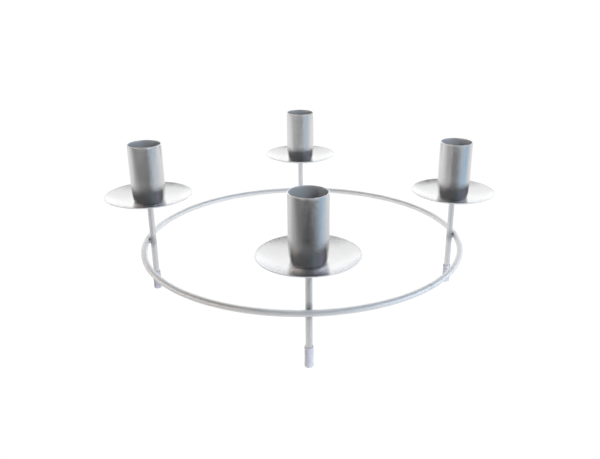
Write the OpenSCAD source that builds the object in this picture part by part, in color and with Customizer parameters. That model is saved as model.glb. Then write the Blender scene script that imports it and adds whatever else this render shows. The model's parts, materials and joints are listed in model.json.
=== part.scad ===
// Candle holder for an advent wreath: a wire ring with four posts.
// Each post carries a drip tray and a candle cup, and stands in a soft foot cap.
// Z is up, the table is z = 0, and the ring is centred on the origin.
// The front arm points along -Y, the right arm along +X.

/* [Ring] */
// Outer diameter of the wire ring
ring_od = 250; // [200:1:320]
// Diameter of the ring's wire
ring_wire_d = 4.5; // [3:0.1:6]
// Height of the middle of the ring's wire above the table
ring_h = 41; // [32:1:60]
// Direction of the joint between the two ends of the ring's wire, counted from +X
ring_joint_az = -48; // [-80:1:-10]
// Width of the weld that closes the ring
ring_joint_w = 1.4; // [0.6:0.1:4]
// How far the closing weld stands proud of the wire
ring_joint_crown = 0.15; // [0.05:0.05:0.6]

/* [Posts] */
// Diameter of the post's wire
post_wire_d = 4.5; // [3.2:0.1:6]
// Height of the post's shoulder, on which the tray rests, above the table
shoulder_h = 74; // [66:1:120]
// Chamfer on the post's lower end
post_chamfer = 0.4; // [0.1:0.1:0.8]
// Diameter of the tenon that passes through the tray and the cup
tenon_d = 2.6; // [1.6:0.1:2.9]
// Diameter of the riveted head inside the cup
head_d = 5; // [3.8:0.1:8]
// Height of the riveted head
head_h = 1.2; // [0.5:0.1:1.8]

/* [Drip trays] */
// Outer diameter of a drip tray
tray_d = 65; // [50:1:90]
// How far the tray's rim rises above the underside of its middle
tray_rise = 5; // [2:0.1:10]
// Thickness of the tray's sheet
tray_sheet = 0.6; // [0.4:0.1:1.2]
// Width of the flat band of the tray that shows round the foot of the cup
tray_seat_margin = 0.8; // [0.2:0.1:3]

/* [Candle cups] */
// Outer diameter of a candle cup
cup_od = 25; // [20:0.5:34]
// Height of a candle cup
cup_h = 44; // [20:1:70]
// Thickness of the cup's wall and floor
cup_wall = 0.7; // [0.4:0.1:1]
// Height of the stretch at the foot of the cup that draws in
cup_taper_h = 10; // [5:0.5:14]
// How far the cup draws in at its foot
cup_taper_in = 0.8; // [0.4:0.1:2]
// Outer radius of the corner between the cup's wall and its floor
cup_corner_r = 1.3; // [1.1:0.1:2.4]

/* [Foot caps] */
// Length of a foot cap
cap_l = 14.5; // [8:0.5:24]
// Thickness of the cap's wall
cap_wall = 0.8; // [0.5:0.1:1.4]
// Thickness of the cap's closed end
cap_floor = 1.5; // [1:0.1:3]
// Radius of the cap's lower edge
cap_edge_r = 0.7; // [0.2:0.1:0.9]
// Chamfer at the cap's open end
cap_lip = 0.25; // [0.1:0.05:0.4]

/* [Welds and clearances] */
// Radius of the weld bead between the ring and a post
bead_r = 2.5; // [1.6:0.1:3.2]
// Gap between the ring and a post, filled by the weld bead
weld_gap = 0.1; // [0.06:0.02:0.4]
// Radial clearance round the tenon
tenon_clear = 0.1; // [0.05:0.05:0.3]
// Radial clearance between a post and the bore of its foot cap
cap_clear = 0.02; // [0.01:0.01:0.08]

/* [Hidden] */
$fn = 96;
// Number of straight steps in each arc of a turned outline
arc_steps = 10;
// Number of steps in a whole turn of the ring, and of what is cut to fit it
ring_steps = 720;
// Number of steps round a weld bead and round the wires that shape it
bead_steps = 240;
// Directions of the four arms
front_az = -90;
right_az = 0;
back_az = 90;
left_az = 180;
// Overrun of every cut past the face that it opens
cut = 1;
// Radius of the ring at the middle of its wire
ring_wire_r = ring_wire_d / 2;
ring_r = ring_od / 2 - ring_wire_r;
// Angle that the closing weld takes up
ring_joint_deg = 2 * atan(ring_joint_w / 2 / ring_r);
// Distance of the posts from the middle of the ring
post_r = post_wire_d / 2;
arm_r = ring_r - ring_wire_r - weld_gap - post_r;
// Distance of the middle of a weld bead from the middle of the ring
bead_place_r = ring_r - ring_wire_r - weld_gap / 2;
// Half of the angle of the ring that the cut through a bead takes in
bead_deg = atan((bead_r + cut) / ring_r);
// Stack of sheet on the post's shoulder
cup_base_h = shoulder_h + tray_sheet;
head_base_h = cup_base_h + cup_wall;
hole_r = tenon_d / 2 + tenon_clear;
// Radius of the sphere that the riveted head is cut from
head_r = head_d / 2;
head_ball_r = (head_r * head_r + head_h * head_h) / (2 * head_h);
// Cup: the arc that draws in, and the corner that follows it
cup_r = cup_od / 2;
taper_deg = 2 * atan(cup_taper_in / (cup_taper_h - cup_corner_r));
taper_r = cup_corner_r + (cup_taper_h - cup_corner_r) / sin(taper_deg);
cup_foot_r = cup_r - cup_taper_in - cup_corner_r;
// Tray: the flat seat under the cup, and the arc that rises to the rim
tray_r = tray_d / 2;
seat_r = cup_foot_r + tray_seat_margin;
dish_deg = 2 * atan(tray_rise / (tray_r - seat_r));
dish_r = (tray_r - seat_r) / sin(dish_deg);
// Foot cap
cap_r = post_r + cap_clear + cap_wall;
cap_bore_r = post_r + cap_clear;

metal = "silver";
weld_metal = "darkgray";
cap_plastic = "lavender";

// Points of an arc round a centre, from one angle to another
function arc(centre, r, from, to) = [
    for (i = [0 : arc_steps])
        let (a = from + (to - from) * i / arc_steps)
        centre + r * [cos(a), sin(a)]
];

// The same points in the opposite order
function reversed(points) = [for (i = [len(points) - 1 : -1 : 0]) points[i]];

// Puts a piece that is built on the Z axis at the end of an arm
module at_arm(az) {
    rotate([0, 0, az]) translate([arm_r, 0, 0]) children();
}

// A length of the ring's bent wire, of any radius, from one direction to another
module bent_wire(r, from, sweep) {
    translate([0, 0, ring_h])
        rotate([0, 0, from])
            rotate_extrude(angle = sweep, $fn = ring_steps)
                translate([ring_r, 0]) circle(r = r, $fn = bead_steps);
}

// Wire ring, open by the width of the weld that closes it
module ring() {
    color(metal)
        bent_wire(ring_wire_r, ring_joint_az + ring_joint_deg / 2, 360 - ring_joint_deg);
}

// Weld that closes the ring, ground almost flush with the wire
module ring_joint_weld() {
    color(weld_metal)
        bent_wire(ring_wire_r + ring_joint_crown, ring_joint_az - ring_joint_deg / 2, ring_joint_deg);
}

// Post: a straight wire with a chamfered end, a shoulder, a tenon and a riveted head
module post() {
    ball_centre = [0, head_base_h + head_h - head_ball_r];
    color(metal) rotate_extrude() polygon([
        [0, cap_floor],
        [post_r - post_chamfer, cap_floor],
        [post_r, cap_floor + post_chamfer],
        [post_r, shoulder_h],
        [tenon_d / 2, shoulder_h],
        [tenon_d / 2, head_base_h],
        each arc(ball_centre, head_ball_r, asin((head_ball_r - head_h) / head_ball_r), 90)
    ]);
}

// Drip tray: a flat seat with a hole for the tenon, and a dished rim of even thickness
module drip_tray() {
    dish_centre = [seat_r, shoulder_h + dish_r];
    color(metal) rotate_extrude() polygon(concat(
        [[hole_r, shoulder_h]],
        arc(dish_centre, dish_r, -90, dish_deg - 90),
        reversed(arc(dish_centre, dish_r - tray_sheet, -90, dish_deg - 90)),
        [[hole_r, cup_base_h]]
    ));
}

// Candle cup: a drawn tube whose foot curves in to a flat floor with a hole for the tenon
module candle_cup() {
    taper_centre = [cup_r - taper_r, cup_base_h + cup_taper_h];
    corner_centre = [cup_foot_r, cup_base_h + cup_corner_r];
    color(metal) rotate_extrude() polygon(concat(
        [[hole_r, cup_base_h]],
        arc(corner_centre, cup_corner_r, -90, -taper_deg),
        arc(taper_centre, taper_r, -taper_deg, 0),
        [[cup_r, cup_base_h + cup_h], [cup_r - cup_wall, cup_base_h + cup_h]],
        arc(taper_centre, taper_r - cup_wall, 0, -taper_deg),
        arc(corner_centre, cup_corner_r - cup_wall, -taper_deg, -90),
        [[hole_r, head_base_h]]
    ));
}

// Foot cap: a soft sleeve pushed over the post's end, closed and rounded below
module foot_cap() {
    color(cap_plastic) rotate_extrude() polygon(concat(
        [[0, 0]],
        arc([cap_r - cap_edge_r, cap_edge_r], cap_edge_r, -90, 0),
        [
            [cap_r, cap_l - cap_lip],
            [cap_r - cap_lip, cap_l],
            [cap_bore_r + cap_lip, cap_l],
            [cap_bore_r, cap_l - cap_lip],
            [cap_bore_r, cap_floor],
            [0, cap_floor]
        ]
    ));
}

// Weld bead that fills the narrow gap between the ring and a post
module ring_weld() {
    color(weld_metal) difference() {
        translate([bead_place_r - arm_r, 0, ring_h]) sphere(r = bead_r, $fn = bead_steps);
        translate([0, 0, ring_h - bead_r - cut])
            cylinder(r = post_r, h = 2 * (bead_r + cut), $fn = bead_steps);
        translate([-arm_r, 0, 0]) bent_wire(ring_wire_r, -bead_deg, 2 * bead_deg);
    }
}

module front_post() at_arm(front_az) post();
module right_post() at_arm(right_az) post();
module back_post() at_arm(back_az) post();
module left_post() at_arm(left_az) post();
module front_drip_tray() at_arm(front_az) drip_tray();
module right_drip_tray() at_arm(right_az) drip_tray();
module back_drip_tray() at_arm(back_az) drip_tray();
module left_drip_tray() at_arm(left_az) drip_tray();
module front_candle_cup() at_arm(front_az) candle_cup();
module right_candle_cup() at_arm(right_az) candle_cup();
module back_candle_cup() at_arm(back_az) candle_cup();
module left_candle_cup() at_arm(left_az) candle_cup();
module front_foot_cap() at_arm(front_az) foot_cap();
module right_foot_cap() at_arm(right_az) foot_cap();
module back_foot_cap() at_arm(back_az) foot_cap();
module left_foot_cap() at_arm(left_az) foot_cap();
module front_ring_weld() at_arm(front_az) ring_weld();
module right_ring_weld() at_arm(right_az) ring_weld();
module back_ring_weld() at_arm(back_az) ring_weld();
module left_ring_weld() at_arm(left_az) ring_weld();

ring();
ring_joint_weld();
front_post();
right_post();
back_post();
left_post();
front_drip_tray();
right_drip_tray();
back_drip_tray();
left_drip_tray();
front_candle_cup();
right_candle_cup();
back_candle_cup();
left_candle_cup();
front_foot_cap();
right_foot_cap();
back_foot_cap();
left_foot_cap();
front_ring_weld();
right_ring_weld();
back_ring_weld();
left_ring_weld();
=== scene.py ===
"""Looks of the advent candle holder: a silver wire ring with four posts, trays, cups and foot caps."""
import json
import math

import bmesh
import bpy
from mathutils import Matrix, Vector, noise


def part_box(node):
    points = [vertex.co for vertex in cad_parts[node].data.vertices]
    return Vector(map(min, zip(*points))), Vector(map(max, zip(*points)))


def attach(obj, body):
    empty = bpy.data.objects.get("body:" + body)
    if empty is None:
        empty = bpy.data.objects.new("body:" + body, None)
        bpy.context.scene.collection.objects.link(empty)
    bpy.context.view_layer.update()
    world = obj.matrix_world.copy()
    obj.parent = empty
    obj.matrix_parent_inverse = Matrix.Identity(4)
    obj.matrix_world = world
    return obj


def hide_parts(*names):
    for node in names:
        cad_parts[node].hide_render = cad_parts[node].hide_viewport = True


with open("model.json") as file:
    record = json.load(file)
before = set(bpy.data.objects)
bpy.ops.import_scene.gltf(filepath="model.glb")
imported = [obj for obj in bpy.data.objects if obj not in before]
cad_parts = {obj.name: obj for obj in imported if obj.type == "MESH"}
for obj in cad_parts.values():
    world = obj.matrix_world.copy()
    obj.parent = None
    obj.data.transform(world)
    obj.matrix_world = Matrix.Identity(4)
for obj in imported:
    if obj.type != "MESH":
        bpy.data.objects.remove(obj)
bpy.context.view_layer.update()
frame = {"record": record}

MM = 0.001

# Camera, as the photograph was taken: place in metres, turns in degrees, sensor and lens in millimetres
CAMERA_PLACE = (-0.0109, -0.4642, 0.2327)
CAMERA_PITCH = 20.74
CAMERA_YAW = 4.49
CAMERA_ROLL = 0.67
CAMERA_SENSOR = 36.0
CAMERA_LENS = 37.6
# Shift of the frame from the lens's axis, as shares of the frame's width
CAMERA_SHIFT = (-0.06, -0.0175)

# Arms of the frame: the direction of each, in degrees from +X
ARMS = {"front": -90.0, "right": 0.0, "back": 90.0, "left": 180.0}

# Sizes that the frame's boxes don't show: in metres, azimuth and turn in degrees, and shares
POST_R = 2.25 * MM
POST_CHAMFER = 0.4 * MM
TENON_R = 1.3 * MM
HOLE_R = 1.4 * MM
RING_JOINT_AZ = -48.0
RING_JOINT_W = 1.4 * MM
TRAY_SEAT_MARGIN = 0.8 * MM
CUP_TAPER_IN = 0.8 * MM
CUP_CORNER_R = 1.3 * MM
CAP_BORE_CLEAR = 0.02 * MM
CAP_EDGE_R = 0.7 * MM
BEAD_R = 2.5 * MM
BEAD_OFF = 0.05 * MM
POST_EDGE = 0.15 * MM
HEAD_EDGE = 0.1 * MM
HEAD_EDGE_TURN = 1.5
JOINT_WELD_SHARE = 2.0
TRAY_NOSE_SHARE = 1.4

# Lacquer: features per metre, depth of their relief in metres, and largest slope of the flakes
FLAKES_PER_METRE = 3200.0
FLAKE_TILT = 0.07
CLOUDS_PER_METRE = 70.0
PEEL_PER_METRE = 800.0
PEEL_DEPTH = {"wire": 0.005 * MM, "tray": 0.010 * MM, "cup": 0.010 * MM}
LINES_PER_METRE = 2600.0
LINE_DEPTH = 0.0015 * MM
TURN_MARKS_PER_METRE = 900.0
TURN_MARK_DEPTH = 0.006 * MM
ROUGHNESS_SPREAD = 0.03
COAT_WEIGHT = 0.12
COAT_ROUGHNESS = 0.10
# How metallic it looks. The real lacquer is the same all over. The last four are set for the photo's tones.
METALLIC = 0.97
METALLIC_POST = 0.88
METALLIC_RING = 0.70
METALLIC_INSIDE = 0.57
METALLIC_EDGE = 0.35
# Painted shade round the welds: colour, share at the bead, where it fades, its uneven edge, and added
# roughness
WELD_SHADE_COLOUR = (0.36, 0.40, 0.42)
WELD_SHADE_SHARE = 0.55
WELD_SHADE_NEAR = 4.0 * MM
WELD_SHADE_FAR = 8.0 * MM
WELD_SHADE_UNEVEN = 2 * MM
WELD_SHADE_ROUGHNESS = 0.12
# Painted light: ring lighter than the posts for the photo's tones, and the distances from a post where it
# fades in
RING_PAINTED_LIGHT = (0.98, 0.98, 0.98)
RING_PAINTED_LIGHT_SHARE = 0.7
RING_FROM = POST_R + 0.8 * MM
RING_FULL = POST_R + 2.5 * MM
# Painted highlights on the rims, and the distances from the edge between which they fade in
TRAY_EDGE_HIGHLIGHT = (0.92, 0.92, 0.92)
TRAY_EDGE_HIGHLIGHT_ZONE = (1.6 * MM, 0.2 * MM)
CUP_RIM_HIGHLIGHT = (0.95, 0.95, 0.95)
CUP_RIM_HIGHLIGHT_ZONE = (0.45 * MM, 0.1 * MM)
# Painted shade inside the cups: a darker colour, added roughness, and where it fades in
INSIDE_SHADE_COLOUR = (0.64, 0.64, 0.65)
INSIDE_ROUGHNESS = 0.15
INSIDE_FADE = 1.0 * MM
INSIDE_WALL_SHARE = 0.6
# Lacquer of each kind of piece: light and dark colour, roughness, and how the drawing lines are drawn out
LACQUERS = {
    "wire": ((0.90, 0.90, 0.90), (0.82, 0.82, 0.825), 0.50, (1.0, 1.0, 0.06)),
    "tray": ((0.90, 0.90, 0.905), (0.84, 0.84, 0.845), 0.17, (1.0, 1.0, 1.0)),
    "cup": ((0.85, 0.85, 0.855), (0.78, 0.78, 0.785), 0.21, (1.0, 1.0, 0.05)),
}

# Welds: features per metre, depth, roughness, and for each kind its two colours and how metallic it looks
WELD_RIPPLES_PER_METRE = 1400.0
WELD_SPOTS_PER_METRE = 500.0
WELD_RIPPLE_DEPTH = 0.05 * MM
WELD_ROUGHNESS = (0.32, 0.50)
WELDS = {
    # The beads' dark colours are painted shade where the ring meets the posts
    "weld_bead": ((0.40, 0.39, 0.40), (0.66, 0.65, 0.66), METALLIC),
    "weld_joint": ((0.74, 0.74, 0.75), (0.88, 0.88, 0.88), METALLIC_RING),
}

# Clear plastic: features per metre and their depth, colours, roughness, and how light passes and scatters
HAZE_PER_METRE = 260.0
HAZE_DEPTH = 0.012 * MM
SCUFFS_PER_METRE = 2400.0
SCUFF_DEPTH = 0.0015 * MM
PLASTIC_COLOURS = ((0.90, 0.86, 0.94), (0.94, 0.91, 0.97))
PLASTIC_ROUGHNESS = (0.28, 0.40)
PLASTIC_IOR = 1.46
PLASTIC_CLEARNESS = 0.25
PLASTIC_MILKINESS = 0.3
PLASTIC_SCATTER = 2.0 * MM

# Unevenness of the pieces: bumps per metre, depths in metres, and shares
BUMPS_PER_METRE = {"ring": 160, "melt": 900, "hammer": 900, "post": 500, "tray": 60, "cup": 80, "cap": 350}
RING_LIFT = 0.10 * MM
RING_DRAWN_IN = 0.05 * MM
RING_END_ROUND = 0.12 * MM
DRAWN_SHARE = 0.004
JOINT_SINK = 0.03 * MM
JOINT_CROWN = 0.10 * MM
JOINT_GROUND_SHARE = 0.6
HAMMER_DEPTH = 0.12 * MM
TRAY_WAVE = 0.10 * MM
CUP_OVAL = 0.06 * MM
CAP_WAIST = 0.10 * MM
CAP_DENTS = 0.06 * MM
CAP_SEAM = 0.03 * MM
BEAD_LUMP_SHARE = 0.06
BEAD_FLATNESS_SHARE = 0.62
# Turn of a cap's mould line in radians, the cosine at which its bulge starts, and the span of its rise
SEAM_TURN = 0.7
SEAM_FROM = 0.995
SEAM_SPAN = 0.005
# Parts left plain: a post near its ends, the foot of its head, and what lies deeper than a cap's outer side
PLAIN_ENDS = 1.0 * MM
PLAIN_HEAD = 0.05 * MM
CAP_SKIN = 0.3 * MM

# Fineness of the meshes
TURN_STEPS = 144
RING_STEPS = 720
WIRE_STEPS = 28
JOINT_STEPS = 16
POST_STEPS = 48
TRAY_STEPS = 192
CAP_STEPS = 64
ARC_STEPS = 14
# A point nearer the axis than this, in metres, lies on it
ON_AXIS = 1e-7
# Smallest divisor in the shaders
NEAR_ZERO = 0.001


def node_centre(node):
    """Middle of a CAD node's box."""
    low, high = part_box(node)
    return (low + high) / 2


def node_half_width(node):
    """Half of a CAD node's size along X."""
    low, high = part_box(node)
    return (high.x - low.x) / 2


# Sizes read from the frame
ring_low, ring_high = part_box("ring")
WIRE_R = (ring_high.z - ring_low.z) / 2
RING_Z = (ring_high.z + ring_low.z) / 2
RING_R = ring_high.x - WIRE_R
ARM_R = node_centre("right_candle_cup").x
TRAY_R = node_half_width("right_drip_tray")
TRAY_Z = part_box("right_drip_tray")[0].z
CUP_R = node_half_width("right_candle_cup")
CUP_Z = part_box("right_candle_cup")[0].z
CUP_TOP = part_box("right_candle_cup")[1].z
SHEET = CUP_Z - TRAY_Z
HEAD_R = node_half_width("right_post")
HEAD_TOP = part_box("right_post")[1].z
POST_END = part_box("right_post")[0].z
BEAD_PLACE_R = ARM_R + POST_R + BEAD_OFF
CAP_R = node_half_width("right_foot_cap")
CAP_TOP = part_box("right_foot_cap")[1].z
SOCKET = next(m for m in frame["record"]["mounts"] if m["name"] == "right_candle_socket")
CUP_WALL = CUP_R - SOCKET["dims"]["r_mm"] * MM
CUP_TAPER_H = CUP_TOP - CUP_Z - SOCKET["dims"]["length_mm"] * MM


# Outlines


def arc(centre, radius, start, end, steps=ARC_STEPS):
    """Points of an arc in the (radius, height) plane, from one angle to another, in degrees."""
    points = []
    for i in range(steps + 1):
        angle = math.radians(start + (end - start) * i / steps)
        points.append((centre[0] + radius * math.cos(angle), centre[1] + radius * math.sin(angle)))
    return points


def line(start, end, steps):
    """Points along a straight stretch, without its first point."""
    return [
        (start[0] + (end[0] - start[0]) * i / steps, start[1] + (end[1] - start[1]) * i / steps)
        for i in range(1, steps + 1)
    ]


# Meshes


def make_object(name, mesh_data):
    """Links a new object with that mesh, with smooth faces."""
    for polygon in mesh_data.polygons:
        polygon.use_smooth = True
    made = bpy.data.objects.new(name, mesh_data)
    bpy.context.scene.collection.objects.link(made)
    return made


def turned(name, outline, wobble=None, steps=TURN_STEPS):
    """Solid of revolution on the Z axis. The outline is closed, or ends on the axis at both ends.
    UV u is the share of a turn and v the length along the outline in metres."""
    bm = bmesh.new()
    uv = bm.loops.layers.uv.new("turned")
    columns = []
    for i in range(steps):
        angle = 2 * math.pi * i / steps
        column = []
        for j, (radius, height) in enumerate(outline):
            if radius < ON_AXIS:
                column.append(columns[0][j] if columns else bm.verts.new((0, 0, height)))
                continue
            if wobble:
                radius, height = wobble(radius, height, angle)
            column.append(bm.verts.new((radius * math.cos(angle), radius * math.sin(angle), height)))
        columns.append(column)
    lengths = [0.0]
    for a, b in zip(outline, outline[1:] + outline[:1]):
        lengths.append(lengths[-1] + math.dist(a, b))
    on_axis = outline[0][0] < ON_AXIS and outline[-1][0] < ON_AXIS
    spans = len(outline) - 1 if on_axis else len(outline)
    for i in range(steps):
        here, there = columns[i], columns[(i + 1) % steps]
        for j in range(spans):
            k = (j + 1) % len(outline)
            corners = [(here[j], i, j), (there[j], i + 1, j), (there[k], i + 1, j + 1), (here[k], i, j + 1)]
            unique = []
            for corner in corners:
                if corner[0] not in [u[0] for u in unique]:
                    unique.append(corner)
            if len(unique) < 3:
                continue
            face = bm.faces.new([u[0] for u in unique])
            for loop, (_, turn, along) in zip(face.loops, unique):
                loop[uv].uv = (turn / steps, lengths[along])
    bmesh.ops.recalc_face_normals(bm, faces=bm.faces)
    data = bpy.data.meshes.new(name)
    bm.to_mesh(data)
    bm.free()
    return make_object(name, data)


def swept_ring(name, start, sweep, radius_at, centre_at, steps):
    """Bent wire: a round section swept round the ring, with flat closed ends.
    radius_at and centre_at give the section's radius and its (radius, height) centre at each angle."""
    bm = bmesh.new()
    uv = bm.loops.layers.uv.new("swept")
    rows = []
    for i in range(steps + 1):
        share = i / steps
        angle = math.radians(start + sweep * share)
        ring_radius, height = centre_at(angle)
        row = []
        for j in range(WIRE_STEPS):
            turn = 2 * math.pi * j / WIRE_STEPS
            section = radius_at(share, angle, turn)
            out = ring_radius + section * math.cos(turn)
            row.append(bm.verts.new((out * math.cos(angle), out * math.sin(angle),
                                     height + section * math.sin(turn))))
        rows.append(row)
    for i in range(steps):
        for j in range(WIRE_STEPS):
            k = (j + 1) % WIRE_STEPS
            face = bm.faces.new((rows[i][j], rows[i + 1][j], rows[i + 1][k], rows[i][k]))
            for loop, (along, around) in zip(face.loops, ((i, j), (i + 1, j), (i + 1, j + 1), (i, j + 1))):
                loop[uv].uv = (along / steps, around / WIRE_STEPS)
    for row in (rows[0], rows[-1]):
        middle = bm.verts.new(sum((v.co for v in row), Vector()) / len(row))
        for j in range(WIRE_STEPS):
            bm.faces.new((row[j], row[(j + 1) % WIRE_STEPS], middle))
    bmesh.ops.recalc_face_normals(bm, faces=bm.faces)
    data = bpy.data.meshes.new(name)
    bm.to_mesh(data)
    bm.free()
    return make_object(name, data)


def smooth_bumps(point, scale, seed):
    """Smooth noise from -1 to 1 at a point in metres. scale is bumps per metre.
    Where the bumps run round a piece, the point runs on a circle, so that they close after a turn."""
    return noise.noise(Vector(point) * scale + Vector((seed, 2.7 * seed, -seed)))


def at_arm(piece, azimuth):
    """Turns and moves a piece's mesh from the Z axis to the end of an arm."""
    turn = Matrix.Rotation(math.radians(azimuth), 4, "Z")
    piece.data.transform(turn @ Matrix.Translation((ARM_R, 0, 0)))
    return piece


def finish_piece(piece, node, material):
    """Puts a piece in the place of its CAD node, with its material."""
    piece.data.materials.append(material)
    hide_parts(node)
    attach(piece, "root")
    return piece


# Materials


def new_material(name):
    """Node material, its tree and its shader."""
    material = bpy.data.materials.new(name)
    material.use_nodes = True
    tree = material.node_tree
    tree.nodes.clear()
    output = tree.nodes.new("ShaderNodeOutputMaterial")
    shader = tree.nodes.new("ShaderNodeBsdfPrincipled")
    tree.links.new(shader.outputs["BSDF"], output.inputs["Surface"])
    return material, tree, shader


def noise_node(tree, coordinate, scale, detail=2.0, stretch=(1.0, 1.0, 1.0)):
    """Noise with scale in features per metre. A small factor in stretch draws it out along that axis."""
    mapping = tree.nodes.new("ShaderNodeMapping")
    mapping.inputs["Scale"].default_value = stretch
    texture = tree.nodes.new("ShaderNodeTexNoise")
    texture.inputs["Scale"].default_value = scale
    texture.inputs["Detail"].default_value = detail
    tree.links.new(coordinate, mapping.inputs["Vector"])
    tree.links.new(mapping.outputs["Vector"], texture.inputs["Vector"])
    return texture.outputs["Fac"]


def remap(tree, value, from_low, from_high, to_low, to_high, smooth=False):
    """Maps a value from one range to another, clamped."""
    node = tree.nodes.new("ShaderNodeMapRange")
    node.interpolation_type = "SMOOTHSTEP" if smooth else "LINEAR"
    node.inputs["From Min"].default_value = from_low
    node.inputs["From Max"].default_value = from_high
    node.inputs["To Min"].default_value = to_low
    node.inputs["To Max"].default_value = to_high
    tree.links.new(value, node.inputs["Value"])
    return node.outputs["Result"]


def maths(tree, operation, *values):
    """Math node on sockets or numbers."""
    node = tree.nodes.new("ShaderNodeMath")
    node.operation = operation
    for socket, value in zip(node.inputs, values):
        if isinstance(value, (int, float)):
            socket.default_value = value
        else:
            tree.links.new(value, socket)
    return node.outputs[0]


def length_of(tree, *parts):
    """Root of the sum of squares."""
    total = 0.0
    for part in parts:
        total = maths(tree, "ADD", maths(tree, "MULTIPLY", part, part), total)
    return maths(tree, "SQRT", total)


def blend_colours(tree, share, first, second):
    """Mix of two colours, each a socket or an (r, g, b)."""
    node = tree.nodes.new("ShaderNodeMix")
    node.data_type = "RGBA"
    tree.links.new(share, node.inputs["Factor"])
    for socket, value in ((node.inputs[6], first), (node.inputs[7], second)):
        if isinstance(value, tuple):
            socket.default_value = (*value, 1.0)
        else:
            tree.links.new(value, socket)
    return node.outputs[2]


def bumped(tree, heights):
    """Normal after a chain of bumps. heights lists (height socket, depth in metres)."""
    normal = None
    for height, depth in heights:
        node = tree.nodes.new("ShaderNodeBump")
        node.inputs["Strength"].default_value = 1.0
        node.inputs["Distance"].default_value = depth
        tree.links.new(height, node.inputs["Height"])
        if normal:
            tree.links.new(normal, node.inputs["Normal"])
        normal = node.outputs["Normal"]
    return normal


def flaked(tree, normal, coordinate, tilt):
    """Normal tilted a little for each flake of the lacquer, tilt being the largest slope."""
    cells = tree.nodes.new("ShaderNodeTexVoronoi")
    cells.inputs["Scale"].default_value = FLAKES_PER_METRE
    tree.links.new(coordinate, cells.inputs["Vector"])
    lean = tree.nodes.new("ShaderNodeVectorMath")
    lean.operation = "MULTIPLY_ADD"
    lean.inputs[1].default_value = (2 * tilt, 2 * tilt, 2 * tilt)
    lean.inputs[2].default_value = (-tilt, -tilt, -tilt)
    tree.links.new(cells.outputs["Color"], lean.inputs[0])
    total = tree.nodes.new("ShaderNodeVectorMath")
    total.operation = "ADD"
    tree.links.new(normal, total.inputs[0])
    tree.links.new(lean.outputs[0], total.inputs[1])
    unit = tree.nodes.new("ShaderNodeVectorMath")
    unit.operation = "NORMALIZE"
    tree.links.new(total.outputs[0], unit.inputs[0])
    return unit.outputs[0], cells.outputs["Color"]


def arm_place(tree, coordinate):
    """Place within an arm: outward and sideways from its axis, and height. All four arms read alike."""
    parts = tree.nodes.new("ShaderNodeSeparateXYZ")
    tree.links.new(coordinate, parts.inputs[0])
    across = maths(tree, "ABSOLUTE", parts.outputs["X"])
    along = maths(tree, "ABSOLUTE", parts.outputs["Y"])
    outward = maths(tree, "SUBTRACT", maths(tree, "MAXIMUM", across, along), ARM_R)
    return outward, maths(tree, "MINIMUM", across, along), parts.outputs["Z"]


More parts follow.
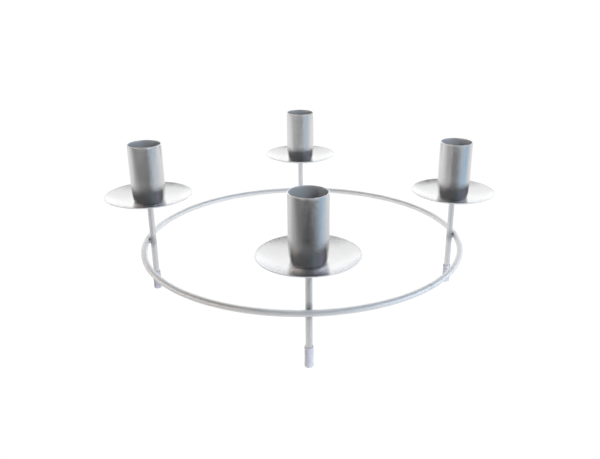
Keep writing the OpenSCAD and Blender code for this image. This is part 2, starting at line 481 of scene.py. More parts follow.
def silver_lacquer(part, light, dark, roughness, draw_stretch):
    """Satin silver lacquer: metallic flake, faint orange peel and the drawing lines of the metal below.
    part is wire, tray or cup, and gives that piece's painted light and shade: round the welds, on the ring,
    on the rims and inside the cups."""
    material, tree, shader = new_material(f"{part}_lacquer")
    place = tree.nodes.new("ShaderNodeTexCoord").outputs["Object"]
    outward, aside, height = arm_place(tree, place)
    radius = length_of(tree, outward, aside)
    cloud = noise_node(tree, place, CLOUDS_PER_METRE, 3.0)
    peel = noise_node(tree, place, PEEL_PER_METRE, 2.0)
    lines = noise_node(tree, place, LINES_PER_METRE, 2.0, draw_stretch)
    heights = [(peel, PEEL_DEPTH[part]), (lines, LINE_DEPTH)]
    if part == "tray":
        turn_marks = tree.nodes.new("ShaderNodeTexNoise")
        turn_marks.noise_dimensions = "1D"
        turn_marks.inputs["Scale"].default_value = TURN_MARKS_PER_METRE
        tree.links.new(radius, turn_marks.inputs["W"])
        heights.append((turn_marks.outputs["Fac"], TURN_MARK_DEPTH))
    normal, flakes = flaked(tree, bumped(tree, heights), place, FLAKE_TILT)
    tree.links.new(normal, shader.inputs["Normal"])
    flake = tree.nodes.new("ShaderNodeSeparateXYZ")
    tree.links.new(flakes, flake.inputs[0])
    tone = maths(tree, "ADD", maths(tree, "MULTIPLY", flake.outputs["X"], 0.5),
                 maths(tree, "MULTIPLY", cloud, 0.5))
    colour = blend_colours(tree, remap(tree, tone, 0.2, 0.8, 0.0, 1.0), dark, light)
    rough = remap(tree, maths(tree, "ADD", cloud, lines), 0.7, 1.3,
                  roughness - ROUGHNESS_SPREAD, roughness + ROUGHNESS_SPREAD)
    if part == "wire":
        # Painted shade on the wire round the welds, where the ring meets the posts
        from_weld = length_of(tree, maths(tree, "SUBTRACT", outward, BEAD_PLACE_R - ARM_R), aside,
                              maths(tree, "SUBTRACT", height, RING_Z))
        weld_shade = remap(tree, maths(tree, "ADD", from_weld, maths(tree, "MULTIPLY", cloud, WELD_SHADE_UNEVEN)),
                     WELD_SHADE_NEAR, WELD_SHADE_FAR, WELD_SHADE_SHARE, 0.0, smooth=True)
        colour = blend_colours(tree, weld_shade, colour, WELD_SHADE_COLOUR)
        rough = maths(tree, "ADD", rough, maths(tree, "MULTIPLY", weld_shade, WELD_SHADE_ROUGHNESS))
        # Painted light: the ring lighter and less metallic than the posts, though the lacquer is the same
        on_ring = remap(tree, radius, RING_FROM, RING_FULL, 0.0, 1.0)
        painted_light = maths(tree, "MULTIPLY", on_ring, RING_PAINTED_LIGHT_SHARE)
        colour = blend_colours(tree, painted_light, colour, RING_PAINTED_LIGHT)
        tree.links.new(remap(tree, on_ring, 0.0, 1.0, METALLIC_POST, METALLIC_RING),
                       shader.inputs["Metallic"])
    if part == "tray":
        # Painted highlight along the tray's edge, lighter and less metallic
        rim_highlight = remap(tree, radius, TRAY_R - TRAY_EDGE_HIGHLIGHT_ZONE[0], TRAY_R - TRAY_EDGE_HIGHLIGHT_ZONE[1], 0.0, 1.0)
        colour = blend_colours(tree, rim_highlight, colour, TRAY_EDGE_HIGHLIGHT)
        tree.links.new(remap(tree, rim_highlight, 0.0, 1.0, METALLIC, METALLIC_EDGE), shader.inputs["Metallic"])
    if part == "cup":
        # Inside of the cups: painted shade, darker and less metallic than the outside
        above = remap(tree, height, CUP_Z + CUP_TAPER_H, CUP_Z + CUP_TAPER_H + INSIDE_FADE, 0.0, 1.0)
        within = remap(tree, radius, CUP_R - CUP_WALL, CUP_R - INSIDE_WALL_SHARE * CUP_WALL, 1.0, 0.0)
        inside = maths(tree, "MULTIPLY", above, within)
        # Painted highlight along the cup's mouth
        rim_highlight = remap(tree, height, CUP_TOP - CUP_RIM_HIGHLIGHT_ZONE[0], CUP_TOP - CUP_RIM_HIGHLIGHT_ZONE[1], 0.0, 1.0)
        colour = blend_colours(tree, rim_highlight, colour, CUP_RIM_HIGHLIGHT)
        colour = blend_colours(tree, inside, colour, INSIDE_SHADE_COLOUR)
        rough = maths(tree, "ADD", rough, maths(tree, "MULTIPLY", inside, INSIDE_ROUGHNESS))
        tree.links.new(remap(tree, inside, 0.0, 1.0, METALLIC, METALLIC_INSIDE), shader.inputs["Metallic"])
    tree.links.new(colour, shader.inputs["Base Color"])
    tree.links.new(rough, shader.inputs["Roughness"])
    shader.inputs["Coat Weight"].default_value = COAT_WEIGHT
    shader.inputs["Coat Roughness"].default_value = COAT_ROUGHNESS
    return material


def weld_metal(name, dark, light, metallic):
    """Lacquered weld, with the ripples and spots of the melt below the lacquer."""
    material, tree, shader = new_material(name)
    place = tree.nodes.new("ShaderNodeTexCoord").outputs["Object"]
    ripple = noise_node(tree, place, WELD_RIPPLES_PER_METRE, 3.0)
    spots = noise_node(tree, place, WELD_SPOTS_PER_METRE, 2.0)
    share = remap(tree, spots, 0.35, 0.65, 0.0, 1.0)
    tree.links.new(blend_colours(tree, share, dark, light), shader.inputs["Base Color"])
    tree.links.new(remap(tree, ripple, 0.3, 0.7, *WELD_ROUGHNESS), shader.inputs["Roughness"])
    shader.inputs["Metallic"].default_value = metallic
    tree.links.new(bumped(tree, ((ripple, WELD_RIPPLE_DEPTH),)), shader.inputs["Normal"])
    return material


def clear_plastic(name):
    """Milky clear soft plastic with a faint lavender tint, matt from handling."""
    material, tree, shader = new_material(name)
    place = tree.nodes.new("ShaderNodeTexCoord").outputs["Object"]
    haze = noise_node(tree, place, HAZE_PER_METRE, 3.0)
    scuff = noise_node(tree, place, SCUFFS_PER_METRE, 2.0, (1.0, 1.0, 0.25))
    share = remap(tree, haze, 0.3, 0.7, 0.0, 1.0)
    tree.links.new(blend_colours(tree, share, *PLASTIC_COLOURS), shader.inputs["Base Color"])
    tree.links.new(remap(tree, scuff, 0.3, 0.7, *PLASTIC_ROUGHNESS), shader.inputs["Roughness"])
    shader.inputs["IOR"].default_value = PLASTIC_IOR
    shader.inputs["Transmission Weight"].default_value = PLASTIC_CLEARNESS
    shader.inputs["Subsurface Weight"].default_value = PLASTIC_MILKINESS
    shader.inputs["Subsurface Radius"].default_value = (PLASTIC_SCATTER, PLASTIC_SCATTER, PLASTIC_SCATTER)
    tree.links.new(bumped(tree, ((haze, HAZE_DEPTH), (scuff, SCUFF_DEPTH))), shader.inputs["Normal"])
    return material


# Pieces


def ring_centre(angle):
    """Centre of the ring's wire at an angle: a hand-bent ring is a little out of flat between the posts."""
    wave = math.sin(2 * angle) ** 2
    lift = RING_LIFT * wave * math.sin(3 * angle + 0.6)
    return RING_R - RING_DRAWN_IN * wave * (1 + math.sin(5 * angle)) / 2, RING_Z + lift


def make_ring(metal):
    """Wire ring, open at its joint."""
    gap = math.degrees(RING_JOINT_W / RING_R)

    def radius_at(share, angle, turn):
        spot = (math.cos(angle) * 0.1, math.sin(angle) * 0.1, turn * 0.004)
        drawn = smooth_bumps(spot, BUMPS_PER_METRE["ring"], 3.1)
        end = min(share, 1 - share) * RING_STEPS
        round_end = RING_END_ROUND if end < 0.5 else 0.0
        return WIRE_R * (1 - DRAWN_SHARE * (1 + drawn)) - round_end

    start = RING_JOINT_AZ + gap / 2
    piece = swept_ring("wire_ring", start, 360 - gap, radius_at, ring_centre, RING_STEPS)
    return finish_piece(piece, "ring", metal)


def make_ring_joint(metal):
    """Weld that closes the ring: a low crown with ripples of the melt, ground flatter on the outside."""
    sweep = math.degrees(JOINT_WELD_SHARE * RING_JOINT_W / RING_R)

    def radius_at(share, angle, turn):
        crown = math.sin(math.pi * share)
        spot = (share * 0.003, math.cos(turn) * 0.002, math.sin(turn) * 0.002)
        ripple = 0.5 + 0.5 * smooth_bumps(spot, BUMPS_PER_METRE["melt"], 8.0)
        ground = JOINT_GROUND_SHARE if math.cos(turn) > 0.3 else 1.0
        return WIRE_R - JOINT_SINK + JOINT_CROWN * crown * ground * (0.6 + 0.4 * ripple)

    start = RING_JOINT_AZ - sweep / 2
    piece = swept_ring("ring_joint_bead", start, sweep, radius_at, ring_centre, JOINT_STEPS)
    return finish_piece(piece, "ring_joint_weld", metal)


def post_outline():
    """Outline of a post: rounded chamfered end, shaft, shoulder, tenon and domed rivet head."""
    head_base = CUP_Z + CUP_WALL
    dome = HEAD_TOP - head_base
    ball = (HEAD_R ** 2 + dome ** 2) / (2 * dome)
    rim = math.degrees(math.asin((ball - dome) / ball))
    points = [(0, POST_END)]
    points += line((0, POST_END), (POST_R - POST_CHAMFER, POST_END), 3)
    points += line(points[-1], (POST_R, POST_END + POST_CHAMFER), 2)
    points += line(points[-1], (POST_R, TRAY_Z - POST_EDGE), 60)
    points += arc((POST_R - POST_EDGE, TRAY_Z - POST_EDGE), POST_EDGE, 0, 90, 4)[1:]
    points += line(points[-1], (TENON_R, TRAY_Z), 2)
    points += line(points[-1], (TENON_R, head_base), 3)
    points += line(points[-1], (HEAD_R - HEAD_EDGE, head_base), 3)
    points += arc((0, HEAD_TOP - ball), ball, rim + HEAD_EDGE_TURN, 90, 12)
    points[-1] = (0, HEAD_TOP)
    return points


def make_post(arm, azimuth, metal):
    """Post of one arm, its rivet head flattened by hammer marks."""
    seed = azimuth / 17.0

    def wobble(radius, height, angle):
        if height > CUP_Z + CUP_WALL + PLAIN_HEAD:
            spot = (radius * math.cos(angle), radius * math.sin(angle), height)
            mark = max(0.0, smooth_bumps(spot, BUMPS_PER_METRE["hammer"], seed))
            return radius, height - HAMMER_DEPTH * mark
        if POST_END + PLAIN_ENDS < height < TRAY_Z - PLAIN_ENDS:
            spot = (math.cos(angle) * 0.002, math.sin(angle) * 0.002, height * 0.2)
            drawn = smooth_bumps(spot, BUMPS_PER_METRE["post"], seed)
            return radius * (1 - DRAWN_SHARE * (1 + drawn)), height
        return radius, height

    piece = turned(f"{arm}_post_rod", post_outline(), wobble, POST_STEPS)
    return finish_piece(at_arm(piece, azimuth), f"{arm}_post", metal)


def tray_outline():
    """Outline of a drip tray: flat seat, dished rim, and an edge rounded by the lacquer."""
    seat = CUP_R - CUP_TAPER_IN - CUP_CORNER_R + TRAY_SEAT_MARGIN
    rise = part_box("right_drip_tray")[1].z - TRAY_Z
    span = TRAY_R - seat
    # The box's top is the upper edge, so the underside's rise follows from the sheet's thickness there
    slope = 2 * math.atan(rise / span)
    for _ in range(8):
        slope = 2 * math.atan((rise - SHEET * math.cos(slope)) / span)
    bend = span / math.sin(slope)
    centre = (seat, TRAY_Z + bend)
    tip = math.degrees(slope) - 90
    lower = arc(centre, bend, -90, tip, 30)
    upper = arc(centre, bend - SHEET, tip, -90, 30)
    nose_r = SHEET / 2
    nose_turn = math.degrees(nose_r / bend)
    nose = (centre[0] + (bend - nose_r) * math.cos(math.radians(tip - nose_turn)),
            centre[1] + (bend - nose_r) * math.sin(math.radians(tip - nose_turn)))
    round_edge = arc(nose, nose_r, tip, tip + 180, 8)
    keep = TRAY_R - TRAY_NOSE_SHARE * nose_r
    points = [(HOLE_R, TRAY_Z)] + line((HOLE_R, TRAY_Z), lower[0], 6)
    points += [p for p in lower[1:] if p[0] < keep]
    points += round_edge
    points += [p for p in upper if seat < p[0] < keep]
    points += [(seat, CUP_Z)] + line((seat, CUP_Z), (HOLE_R, CUP_Z), 6)
    return points


def make_tray(arm, azimuth, metal):
    """Drip tray of one arm, with the slight waviness of pressed sheet near its rim."""
    seed = azimuth / 23.0

    def wobble(radius, height, angle):
        out = max(0.0, (radius - CUP_R) / (TRAY_R - CUP_R))
        spot = (math.cos(angle) * 0.02, math.sin(angle) * 0.02, 0)
        wave = smooth_bumps(spot, BUMPS_PER_METRE["tray"], seed)
        return radius, height - TRAY_WAVE * out ** 2 * (1 + wave) / 2

    piece = turned(f"{arm}_tray_dish", tray_outline(), wobble, TRAY_STEPS)
    return finish_piece(at_arm(piece, azimuth), f"{arm}_drip_tray", metal)


def cup_outline():
    """Outline of a candle cup: floor, drawn-in foot, straight wall and a rounded mouth."""
    rise = CUP_TAPER_H - CUP_CORNER_R
    taper = math.degrees(2 * math.atan(CUP_TAPER_IN / rise))
    taper_r = CUP_CORNER_R + rise / math.sin(math.radians(taper))
    foot = CUP_R - CUP_TAPER_IN - CUP_CORNER_R
    corner = (foot, CUP_Z + CUP_CORNER_R)
    bend = (CUP_R - taper_r, CUP_Z + CUP_TAPER_H)
    inner = CUP_R - CUP_WALL
    floor = CUP_Z + CUP_WALL
    lip = CUP_WALL / 2
    points = [(HOLE_R, CUP_Z)] + line((HOLE_R, CUP_Z), (foot, CUP_Z), 5)
    points += arc(corner, CUP_CORNER_R, -90, -taper, 8)[1:]
    points += arc(bend, taper_r, -taper, 0, 14)[1:]
    points += line(points[-1], (CUP_R, CUP_TOP - lip), 24)
    points += arc((CUP_R - lip, CUP_TOP - lip), lip, 0, 180, 10)[1:]
    points += line(points[-1], (inner, bend[1]), 24)
    points += arc(bend, taper_r - CUP_WALL, 0, -taper, 14)[1:]
    points += arc(corner, CUP_CORNER_R - CUP_WALL, -taper, -90, 8)[1:]
    points += line(points[-1], (HOLE_R, floor), 5)
    return points


def make_cup(arm, azimuth, metal):
    """Candle cup of one arm, its wall a few hundredths of a millimetre out of round."""
    seed = azimuth / 31.0

    def wobble(radius, height, angle):
        up = max(0.0, (height - CUP_Z) / (CUP_TOP - CUP_Z))
        spot = (math.cos(angle) * 0.01, math.sin(angle) * 0.01, height)
        oval = math.cos(2 * angle + seed) * 0.5 + 0.5 * smooth_bumps(spot, BUMPS_PER_METRE["cup"], seed)
        return radius - CUP_OVAL * up * (1 + oval) / 2, height

    piece = turned(f"{arm}_cup_tube", cup_outline(), wobble)
    return finish_piece(at_arm(piece, azimuth), f"{arm}_candle_cup", metal)


def cap_outline():
    """Outline of a foot cap: rounded closed end, slightly waisted sleeve, and soft lip round the post."""
    bore = POST_R + CAP_BORE_CLEAR
    lip = 0.5 * (CAP_R - bore)
    points = [(0, 0)] + line((0, 0), (CAP_R - CAP_EDGE_R, 0), 3)
    points += arc((CAP_R - CAP_EDGE_R, CAP_EDGE_R), CAP_EDGE_R, -90, 0, 8)[1:]
    steps = 24
    for i in range(1, steps + 1):
        share = i / steps
        waist = CAP_WAIST * math.sin(math.pi * share)
        points.append((CAP_R - waist, CAP_EDGE_R + (CAP_TOP - lip - CAP_EDGE_R) * share))
    points += arc((CAP_R - lip, CAP_TOP - lip), lip, 0, 180, 8)[1:]
    points += line(points[-1], (bore, POST_END), 20)
    points += line(points[-1], (0, POST_END), 4)
    return points


def make_cap(arm, azimuth, plastic):
    """Foot cap of one arm, with the faint mould line that runs down two sides."""
    seed = azimuth / 13.0

    def wobble(radius, height, angle):
        if radius < CAP_R - CAP_SKIN or height < CAP_EDGE_R:
            return radius, height
        seam = max(0.0, abs(math.cos(angle + SEAM_TURN)) - SEAM_FROM) / SEAM_SPAN
        spot = (math.cos(angle) * 0.003, math.sin(angle) * 0.003, height)
        soft = smooth_bumps(spot, BUMPS_PER_METRE["cap"], seed)
        return radius - CAP_DENTS * (1 + soft) / 2 + CAP_SEAM * seam, height

    piece = turned(f"{arm}_cap_sleeve", cap_outline(), wobble, CAP_STEPS)
    return finish_piece(at_arm(piece, azimuth), f"{arm}_foot_cap", plastic)


def make_ring_weld(arm, azimuth, metal):
    """Weld bead between the ring and a post: a lumpy drop of melt squeezed out round the contact."""
    bm = bmesh.new()
    bmesh.ops.create_icosphere(bm, subdivisions=5, radius=1.0)
    seed = 40 + azimuth / 11.0
    for vert in bm.verts:
        direction = vert.co.normalized()
        bumps = smooth_bumps(direction * 0.002, BUMPS_PER_METRE["melt"], seed)
        lump = 1 + BEAD_LUMP_SHARE * bumps - BEAD_LUMP_SHARE
        vert.co = Vector((direction.x * BEAD_FLATNESS_SHARE, direction.y, direction.z)) * BEAD_R * lump
    data = bpy.data.meshes.new(f"{arm}_weld_bead")
    bm.to_mesh(data)
    bm.free()
    data.transform(Matrix.Translation((BEAD_PLACE_R - ARM_R, 0, RING_Z)))
    piece = make_object(f"{arm}_weld_bead", data)
    return finish_piece(at_arm(piece, azimuth), f"{arm}_ring_weld", metal)


def make_holder():
    """Every piece of the holder, in the places of its CAD nodes."""
    lacquer = {part: silver_lacquer(part, *values) for part, values in LACQUERS.items()}
    weld = {name: weld_metal(name, *values) for name, values in WELDS.items()}
    plastic = clear_plastic("cap_plastic")
    make_ring(lacquer["wire"])
    make_ring_joint(weld["weld_joint"])
    for arm, azimuth in ARMS.items():
        make_post(arm, azimuth, lacquer["wire"])
        make_tray(arm, azimuth, lacquer["tray"])
        make_cup(arm, azimuth, lacquer["cup"])
        make_cap(arm, azimuth, plastic)
        make_ring_weld(arm, azimuth, weld["weld_bead"])


# Stage, light and camera


def light_path(tree):
    """Light path node of a shader tree."""
    return tree.nodes.new("ShaderNodeLightPath")


def mix_shaders(tree, share, first, second):
    """Mix of two shader sockets."""
    node = tree.nodes.new("ShaderNodeMixShader")
    tree.links.new(share, node.inputs[0])
    tree.links.new(first, node.inputs[1])
    tree.links.new(second, node.inputs[2])
    return node.outputs[0]


def emission(tree, colour=(1.0, 1.0, 1.0), strength=1.0):
    """Emission of a colour and strength, each a number or a socket."""
    node = tree.nodes.new("ShaderNodeEmission")
    for socket, value in ((node.inputs["Color"], colour), (node.inputs["Strength"], strength)):
        if isinstance(value, tuple):
            socket.default_value = (*value, 1.0)
        elif isinstance(value, float):
            socket.default_value = value
        else:
            tree.links.new(value, socket)
    return node.outputs[0]


# Floor and room as the metal shows them. The camera sees a white ground, but the metal mirrors this
# painted surrounding. Its levels were first fitted to the tones of the photo's metal, then changed.

# Brightness of the floor along Y in metres: bright towards the back, dark in front, lighter again beyond
FLOOR_STOPS = ((-0.80, 0.42), (-0.60, 0.22), (-0.48, 0.05), (-0.32, 0.04), (-0.26, 0.10), (-0.20, 0.42),
               (-0.14, 0.69), (0.06, 0.75), (0.25, 0.88))
# Either side of the dark front: dim on the left, bluish on the right, and less so far in front. The zones
# are places along X or Y between which a side fades in.
SIDE_LEFT = (0.20, 0.20, 0.20)
SIDE_RIGHT = (0.36, 0.53, 0.71)
SIDE_RIGHT_FRONT = (0.49, 0.53, 0.56)
SIDE_LEFT_SHARE = 0.6
SIDE_LEFT_ZONE_X = (-0.02, -0.24)
SIDE_RIGHT_ZONE_X = (0.01, 0.45)
SIDES_ZONE_Y = (0.05, -0.15)
SIDE_RIGHT_FRONT_ZONE_Y = (-0.28, -0.36)
# Far floor by direction, the distances between which it takes over, and where its ends and sides meet
FAR_BACK = 1.2
FAR_SIDE = 0.3
FAR_FRONT = 0.85
FAR_ZONE = (0.70, 1.2)
FAR_ENDS_ZONE_Y = (-0.5, 0.5)
FAR_ENDS_COSINES = (0.5, 0.85)
# Painted shadow on the floor in front of the front cup: middle, half sizes, how much light it takes, and
# its soft edge
FLOOR_SHADOW_PLACE = (-0.01, -0.335)
FLOOR_SHADOW_SIZE = (0.050, 0.080)
FLOOR_SHADOW_DEPTH = 0.75
FLOOR_SHADOW_EDGE = (0.3, 1.0)
# Floor as matt surfaces meet it, as see-through ones do, and as the camera does: its own light near and
# far, and the matt share that takes the shadow. Then where near turns to far, and the floor's radius.
FLOOR_MATT = 0.82
FLOOR_THROUGH = 0.97
FLOOR_NEAR = 0.95
FLOOR_FAR = 1.0
FLOOR_SHADED = 0.12
FLOOR_FAR_ZONE = (0.3, 1.2)
FLOOR_RADIUS = 30.0


def grey(level):
    """Grey of a level."""
    return level, level, level


def stops_ramp(tree, value, stops):
    """Grey that follows (position, level) stops."""
    ramp = tree.nodes.new("ShaderNodeValToRGB")
    start, end = stops[0][0], stops[-1][0]
    while len(ramp.color_ramp.elements) < len(stops):
        ramp.color_ramp.elements.new(0.5)
    for element, (place, level) in zip(ramp.color_ramp.elements, stops):
        element.position = (place - start) / (end - start)
        element.color = (*grey(level), 1.0)
    tree.links.new(remap(tree, value, start, end, 0.0, 1.0), ramp.inputs["Fac"])
    return ramp.outputs["Color"]


def distance_from(tree, x, y, centre, sizes=(1.0, 1.0)):
    """Distance on the floor from a point, with each direction measured in its own size."""
    side = maths(tree, "DIVIDE", maths(tree, "SUBTRACT", x, centre[0]), sizes[0])
    depth = maths(tree, "DIVIDE", maths(tree, "SUBTRACT", y, centre[1]), sizes[1])
    return length_of(tree, side, depth)


def floor_light(tree, x, y):
    """Brightness of the floor as the metal shows it."""
    colour = stops_ramp(tree, y, FLOOR_STOPS)
    forward = remap(tree, y, *SIDES_ZONE_Y, 0.0, 1.0, smooth=True)
    leftward = remap(tree, x, *SIDE_LEFT_ZONE_X, 0.0, SIDE_LEFT_SHARE, smooth=True)
    rightward = remap(tree, x, *SIDE_RIGHT_ZONE_X, 0.0, 1.0, smooth=True)
    left = maths(tree, "MULTIPLY", forward, leftward)
    right = maths(tree, "MULTIPLY", forward, rightward)
    colour = blend_colours(tree, left, colour, SIDE_LEFT)
    in_front = remap(tree, y, *SIDE_RIGHT_FRONT_ZONE_Y, 0.0, 1.0, smooth=True)
    window = blend_colours(tree, in_front, SIDE_RIGHT, SIDE_RIGHT_FRONT)
    colour = blend_colours(tree, right, colour, window)
    # Painted shadow on the floor, seen only in the metal
    from_floor_shadow = distance_from(tree, x, y, FLOOR_SHADOW_PLACE, FLOOR_SHADOW_SIZE)
    floor_shadow = remap(tree, from_floor_shadow, *FLOOR_SHADOW_EDGE, FLOOR_SHADOW_DEPTH, 0.0, smooth=True)
    colour = blend_colours(tree, floor_shadow, colour, grey(0.0))
    reach = distance_from(tree, x, y, (0.0, 0.0))
    cosine = maths(tree, "DIVIDE", maths(tree, "ABSOLUTE", y), maths(tree, "MAXIMUM", reach, NEAR_ZERO))
    ends = remap(tree, y, *FAR_ENDS_ZONE_Y, FAR_FRONT, FAR_BACK)
    lengthwise = remap(tree, cosine, *FAR_ENDS_COSINES, 0.0, 1.0, smooth=True)
    far = blend_colours(tree, lengthwise, grey(FAR_SIDE), ends)
    return blend_colours(tree, remap(tree, reach, *FAR_ZONE, 0.0, 1.0, smooth=True), colour, far)


def floor_material():
    """Floor: white with a faint shadow to the camera, and the painted floor to the metal."""
    material = bpy.data.materials.new("studio_floor")
    material.use_nodes = True
    tree = material.node_tree
    tree.nodes.clear()
    output = tree.nodes.new("ShaderNodeOutputMaterial")
    place = tree.nodes.new("ShaderNodeSeparateXYZ")
    tree.links.new(tree.nodes.new("ShaderNodeTexCoord").outputs["Object"], place.inputs[0])
    x, y, _ = place.outputs
    diffuse = tree.nodes.new("ShaderNodeBsdfDiffuse")
    diffuse.inputs["Color"].default_value = (*grey(FLOOR_MATT), 1.0)
    faint = tree.nodes.new("ShaderNodeBsdfDiffuse")
    faint.inputs["Color"].default_value = (*grey(FLOOR_SHADED), 1.0)
    seen = tree.nodes.new("ShaderNodeAddShader")
    tree.links.new(faint.outputs[0], seen.inputs[0])
    reach = distance_from(tree, x, y, (0.0, 0.0))
    far = remap(tree, reach, *FLOOR_FAR_ZONE, FLOOR_NEAR, FLOOR_FAR, smooth=True)
    tree.links.new(emission(tree, strength=far), seen.inputs[1])
    path = light_path(tree)
    surface = mix_shaders(tree, path.outputs["Is Glossy Ray"], diffuse.outputs[0],
                          emission(tree, floor_light(tree, x, y)))
    surface = mix_shaders(tree, path.outputs["Is Transmission Ray"], surface,
                          emission(tree, strength=FLOOR_THROUGH))
    surface = mix_shaders(tree, path.outputs["Is Camera Ray"], surface, seen.outputs[0])
    tree.links.new(surface, output.inputs["Surface"])
    return material


def make_floor():
    """Round floor under the holder."""
    bm = bmesh.new()
    bmesh.ops.create_circle(bm, cap_ends=True, radius=FLOOR_RADIUS, segments=96)
    data = bpy.data.meshes.new("floor")
    bm.to_mesh(data)
    bm.free()
    floor = make_object("floor", data)
    floor.data.materials.append(floor_material())


# Brightness of the room by direction. A white sweep stands at the back. The side walls are bright only low
# down, bluish on the right and warm on the left. The wall in front and the upper walls are dark, and so is
# the front of the ceiling. Heights are sines of the elevation, and directions cosines from +Y or from +X.
SWEEP_STOPS = ((0.0, 1.3), (0.26, 1.16), (0.36, 1.06), (0.45, 0.97), (0.70, 0.93), (0.83, 0.60),
               (1.0, 0.50))
WALL_FRONT = (0.25, 0.25, 0.26)
WALL_LEFT = (1.55, 1.38, 1.24)
WALL_RIGHT = (1.38, 1.52, 1.78)
WALL_SIDES_COSINES = (-0.5, 0.5)
WALL_FRONT_COSINES = (-0.72, -0.97)
WALL_TOP = (0.24, 0.46)
ROOM_DARK = 0.06
ROOM_TOP = 0.50
ROOM_TOP_HEIGHTS = (0.88, 0.96)
ROOM_TOP_COSINES = (-0.6, 0.2)
# The sweep's edges: azimuth 65 to 115 degrees low down, 26 to 47 degrees higher up
SWEEP_LOW_COSINES = (-0.42, 0.42)
SWEEP_HIGH_COSINES = (0.68, 0.90)
SWEEP_HEIGHTS = (0.20, 0.38)
# Lights in the room: azimuth from +Y to the right, elevation, radius in degrees and colour
ROOM_LIGHTS = {
    "small window": (138.0, 50.0, 11.0, (0.12, 0.19, 0.23)),
    "window": (95.0, 42.0, 20.0, (0.17, 0.16, 0.22)),
    "ceiling lamp": (290.0, 68.0, 18.0, (0.38, 0.35, 0.32)),
}


def toward(azimuth, elevation):
    """Unit vector to a direction, in degrees."""
    az, el = math.radians(azimuth), math.radians(elevation)
    return math.sin(az) * math.cos(el), math.cos(az) * math.cos(el), math.sin(el)


def room_colour(tree, way):
    """Colour of the painted room in a direction, as metal mirrors it and as it lights matt surfaces."""
    parts = tree.nodes.new("ShaderNodeSeparateXYZ")
    tree.links.new(way, parts.inputs[0])
    x, y, z = parts.outputs
    flat = maths(tree, "MAXIMUM", length_of(tree, x, y), NEAR_ZERO)
    behind = maths(tree, "DIVIDE", y, flat)
    rightward = maths(tree, "DIVIDE", x, flat)
    side = remap(tree, rightward, *WALL_SIDES_COSINES, 0.0, 1.0, smooth=True)
    walls = blend_colours(tree, side, WALL_LEFT, WALL_RIGHT)
    front = remap(tree, behind, *WALL_FRONT_COSINES, 0.0, 1.0, smooth=True)
    walls = blend_colours(tree, front, walls, WALL_FRONT)
    walls = blend_colours(tree, remap(tree, z, *WALL_TOP, 0.0, 1.0, smooth=True), walls, grey(ROOM_DARK))
    top = maths(tree, "MULTIPLY", remap(tree, z, *ROOM_TOP_HEIGHTS, 0.0, 1.0, smooth=True),
                remap(tree, behind, *ROOM_TOP_COSINES, 0.0, 1.0, smooth=True))
    walls = blend_colours(tree, top, walls, grey(ROOM_TOP))
    low = remap(tree, behind, *SWEEP_LOW_COSINES, 0.0, 1.0, smooth=True)
    high = remap(tree, behind, *SWEEP_HIGH_COSINES, 0.0, 1.0, smooth=True)
    rise = remap(tree, z, *SWEEP_HEIGHTS, 0.0, 1.0, smooth=True)
    sweep = maths(tree, "ADD", maths(tree, "MULTIPLY", low, maths(tree, "SUBTRACT", 1.0, rise)),
                  maths(tree, "MULTIPLY", high, rise))
    colour = blend_colours(tree, sweep, walls, stops_ramp(tree, z, SWEEP_STOPS))
    for azimuth, elevation, radius, light in ROOM_LIGHTS.values():
        dot = tree.nodes.new("ShaderNodeVectorMath")
        dot.operation = "DOT_PRODUCT"
        tree.links.new(way, dot.inputs[0])
        dot.inputs[1].default_value = toward(azimuth, elevation)
        near, rim = (math.cos(math.radians(angle)) for angle in (0.6 * radius, radius))
        share = remap(tree, dot.outputs["Value"], rim, near, 0.0, 1.0, smooth=True)
        colour = blend_colours(tree, share, colour, light)
    return colour


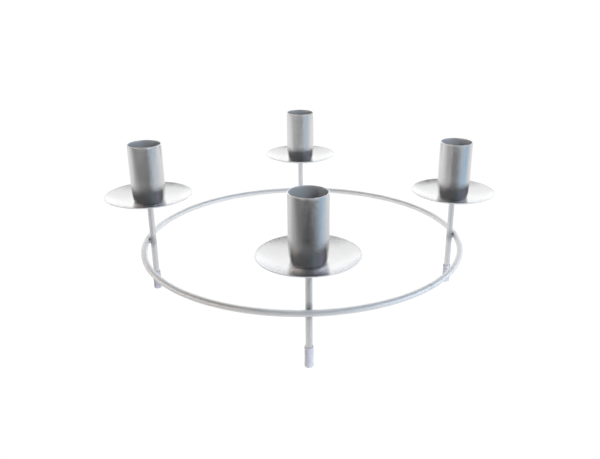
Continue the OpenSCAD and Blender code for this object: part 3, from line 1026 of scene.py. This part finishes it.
def make_world():
    """World: white to the camera and through clear plastic, and the painted room to everything else."""
    world = bpy.data.worlds.new("studio")
    bpy.context.scene.world = world
    world.use_nodes = True
    tree = world.node_tree
    tree.nodes.clear()
    output = tree.nodes.new("ShaderNodeOutputWorld")
    way = tree.nodes.new("ShaderNodeTexCoord").outputs["Generated"]
    path = light_path(tree)
    clear = maths(tree, "MAXIMUM", path.outputs["Is Camera Ray"], path.outputs["Is Transmission Ray"])
    room = tree.nodes.new("ShaderNodeBackground")
    tree.links.new(room_colour(tree, way), room.inputs["Color"])
    white = tree.nodes.new("ShaderNodeBackground")
    white.inputs["Color"].default_value = (1.0, 1.0, 1.0, 1.0)
    white.inputs["Strength"].default_value = 1.0
    tree.links.new(mix_shaders(tree, clear, room.outputs[0], white.outputs[0]), output.inputs["Surface"])


# Lamps for the matt share of the surfaces: place in metres, width, watts and colour
LAMPS = {
    "soft_top": ((-0.4, 0.1, 0.8), 0.7, 0.8, (1.0, 1.0, 1.0)),
    "window": ((0.55, -0.50, 0.52), 0.25, 5.0, (0.74, 0.88, 1.0)),
}


def make_lamp(name, place, size, energy, colour):
    """Large soft lamp that looks at the middle of the holder and doesn't show in its metal."""
    lamp = bpy.data.lights.new(name, "AREA")
    lamp.shape = "DISK"
    lamp.size = size
    lamp.energy = energy
    lamp.color = colour
    made = bpy.data.objects.new(name, lamp)
    made.location = place
    made.rotation_euler = (Vector((0, 0, RING_Z)) - Vector(place)).to_track_quat("-Z", "Y").to_euler()
    made.visible_glossy = False
    bpy.context.scene.collection.objects.link(made)


def make_camera():
    """Camera at the photograph's viewpoint."""
    pitch, yaw, roll = (math.radians(a) for a in (CAMERA_PITCH, CAMERA_YAW, CAMERA_ROLL))
    forward = Vector((math.sin(yaw) * math.cos(pitch), math.cos(yaw) * math.cos(pitch), -math.sin(pitch)))
    right = forward.cross(Vector((0, 0, 1))).normalized()
    up = right.cross(forward)
    across = right * math.cos(roll) + up * math.sin(roll)
    upward = up * math.cos(roll) - right * math.sin(roll)
    camera = bpy.data.cameras.new("camera")
    camera.sensor_fit = "HORIZONTAL"
    camera.sensor_width = CAMERA_SENSOR
    camera.lens = CAMERA_LENS
    camera.shift_x, camera.shift_y = CAMERA_SHIFT
    camera.clip_start = 0.01
    made = bpy.data.objects.new("camera", camera)
    rotation = Matrix((across, upward, -forward)).transposed().to_4x4()
    made.matrix_world = Matrix.Translation(CAMERA_PLACE) @ rotation
    bpy.context.scene.collection.objects.link(made)
    bpy.context.scene.camera = made


make_camera()
make_world()
make_floor()
for lamp_name, lamp_values in LAMPS.items():
    make_lamp(lamp_name, *lamp_values)
make_holder()

bpy.context.scene.view_settings.view_transform = "Standard"
